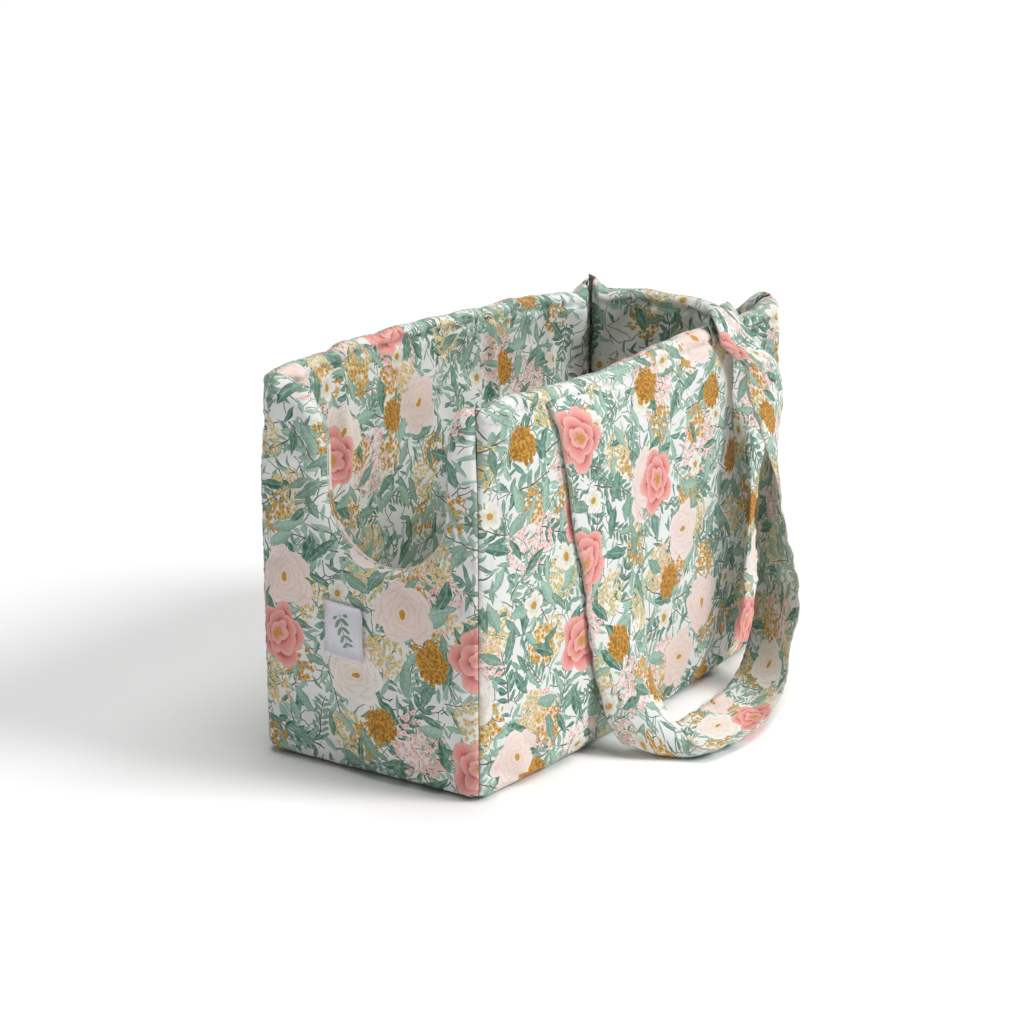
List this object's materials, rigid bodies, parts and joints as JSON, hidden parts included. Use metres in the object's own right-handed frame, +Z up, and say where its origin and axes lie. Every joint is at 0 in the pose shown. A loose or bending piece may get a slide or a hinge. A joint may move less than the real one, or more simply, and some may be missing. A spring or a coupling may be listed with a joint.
{
  "type": "knitting bag",
  "caption": "Open-topped padded rectangular fabric tote with a U-shaped notch in one end wall and flat carry straps that swing up from the long sides.",
  "frame": {"origin": "middle of the base on the floor it stands on", "axes": "+Z up, X along the length with the notched front end at -X, Y across"},
  "size_m": [0.4017, 0.3522, 0.251],
  "materials": {
    "print_cotton_outer": "plain-weave cotton, printed with flowers and leaves on white, matte",
    "print_cotton_lining": "the same printed cotton as the outside, matte",
    "print_cotton_strap": "the same printed cotton, sewn double with a thin filling",
    "batting": "polyester batting, hidden",
    "label_satin": "woven satin ribbon with a slight sheen",
    "thread": "polyester sewing thread"
  },
  "bodies": {
    "bag": {"outer_front_panel": "print_cotton_outer", "outer_back_panel": "print_cotton_outer", "outer_left_side_panel": "print_cotton_outer", "outer_right_side_panel": "print_cotton_outer", "outer_base_panel": "print_cotton_outer", "padding_front": "batting", "padding_back": "batting", "padding_left_side": "batting", "padding_right_side": "batting", "padding_base": "batting", "lining_front": "print_cotton_lining", "lining_back": "print_cotton_lining", "lining_left_side": "print_cotton_lining", "lining_right_side": "print_cotton_lining", "lining_base": "print_cotton_lining", "rim_stitching_left_side": "thread", "strap_left_front_end": "print_cotton_strap", "strap_left_rear_end": "print_cotton_strap", "rim_stitching_right_side": "thread", "strap_right_front_end": "print_cotton_strap", "strap_right_rear_end": "print_cotton_strap", "label": "label_satin", "label_stitching_left": "thread", "label_stitching_right": "thread"},
    "strap_left": {"strap_left_loop": "print_cotton_strap"},
    "strap_right": {"strap_right_loop": "print_cotton_strap"}
  },
  "joints": [
    {"name": "strap_left_swing", "type": "hinge", "parent": "bag", "child": "strap_left", "pos_m": [0, -0.096, 0.236], "axis": [-1, 0, 0], "range_deg": [0, 175]},
    {"name": "strap_right_swing", "type": "hinge", "parent": "bag", "child": "strap_right", "pos_m": [0, 0.096, 0.236], "axis": [1, 0, 0], "range_deg": [0, 175]}
  ]
}
